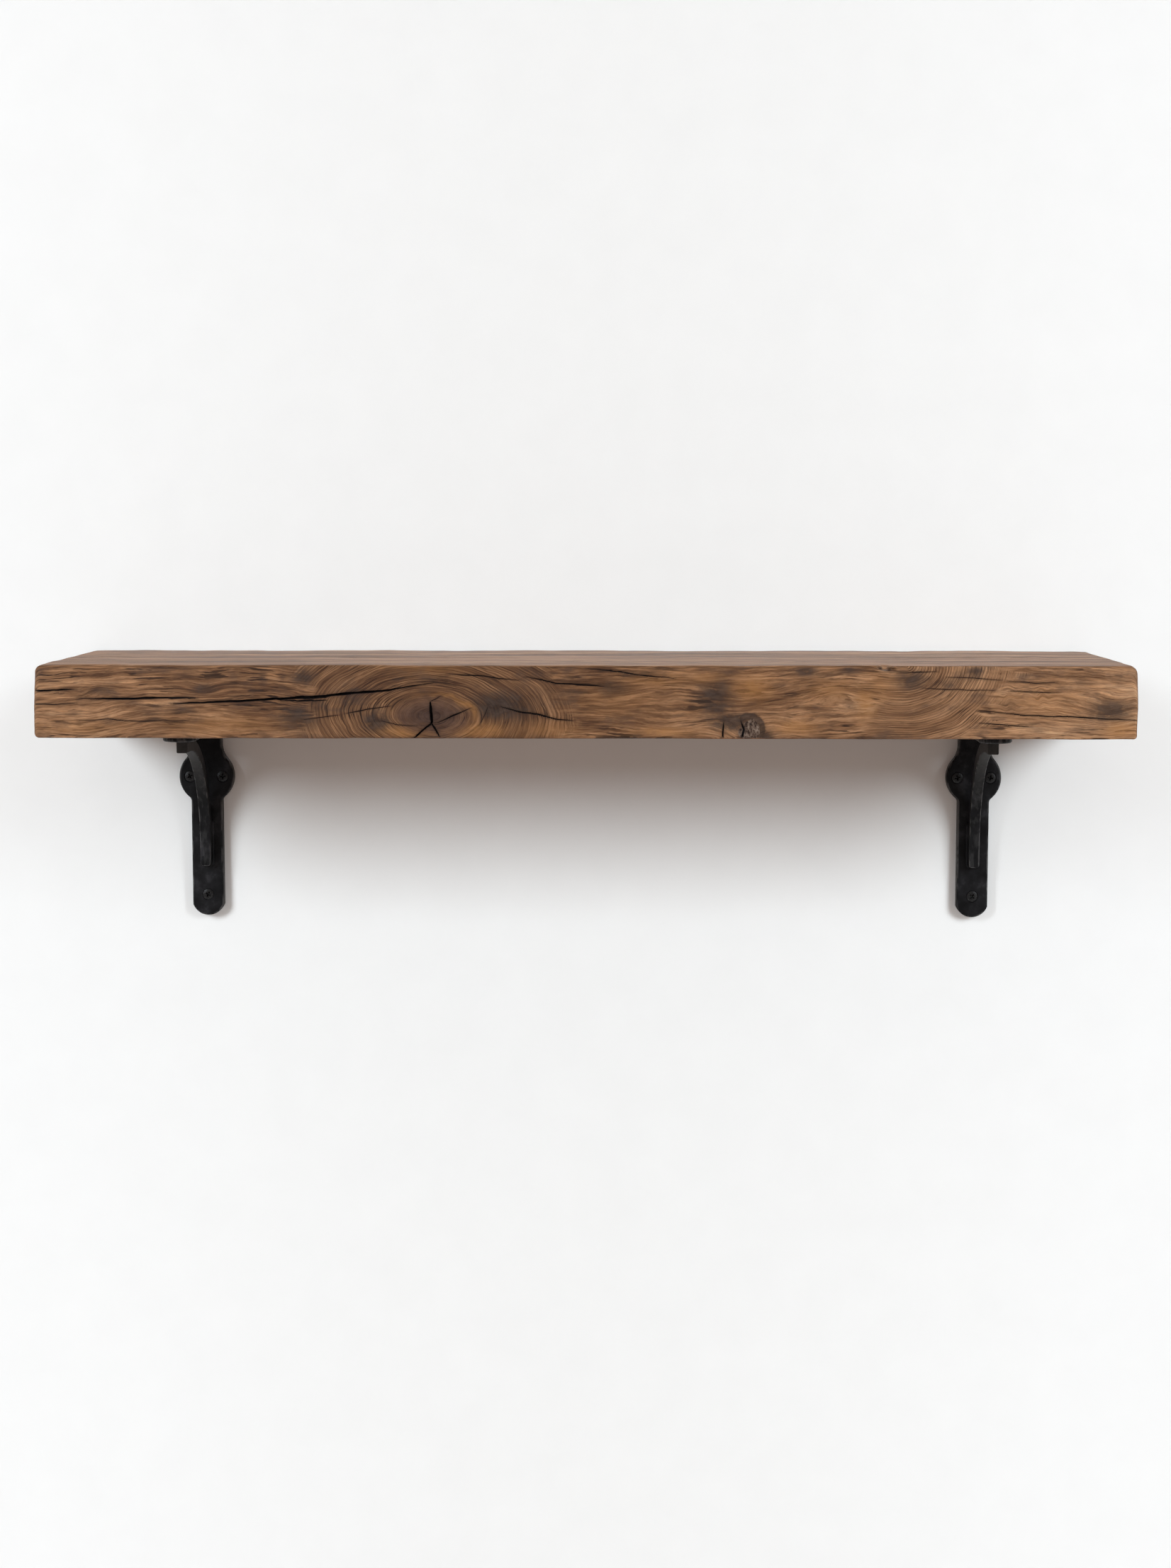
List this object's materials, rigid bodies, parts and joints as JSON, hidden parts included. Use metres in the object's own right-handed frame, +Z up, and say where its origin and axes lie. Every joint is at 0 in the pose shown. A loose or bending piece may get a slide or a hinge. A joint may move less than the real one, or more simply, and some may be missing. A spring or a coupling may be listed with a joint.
{
  "type": "wall shelf with brackets",
  "caption": "Thick reclaimed timber wall shelf carried by two black forged-iron brackets with curved braces and countersunk screws.",
  "frame": {"origin": "on the wall plane, midway along the shelf, level with the shelf's top face", "axes": "+X along the shelf to the viewer's right, +Y into the wall, +Z up; the front edge faces -Y"},
  "size_m": [0.914, 0.2683, 0.2445],
  "materials": {
    "reclaimed_oak": "matte",
    "black_iron": "satin",
    "screw_steel": "satin"
  },
  "bodies": {
    "root": {"shelf_board": "reclaimed_oak", "left_strap": "black_iron", "left_brace": "black_iron", "left_wall_screw_a": "screw_steel", "left_wall_screw_b": "screw_steel", "left_wall_screw_c": "screw_steel", "left_shelf_screw_a": "screw_steel", "left_shelf_screw_b": "screw_steel", "left_shelf_screw_c": "screw_steel", "right_strap": "black_iron", "right_brace": "black_iron", "right_wall_screw_a": "screw_steel", "right_wall_screw_b": "screw_steel", "right_wall_screw_c": "screw_steel", "right_shelf_screw_a": "screw_steel", "right_shelf_screw_b": "screw_steel", "right_shelf_screw_c": "screw_steel"}
  },
  "joints": []
}
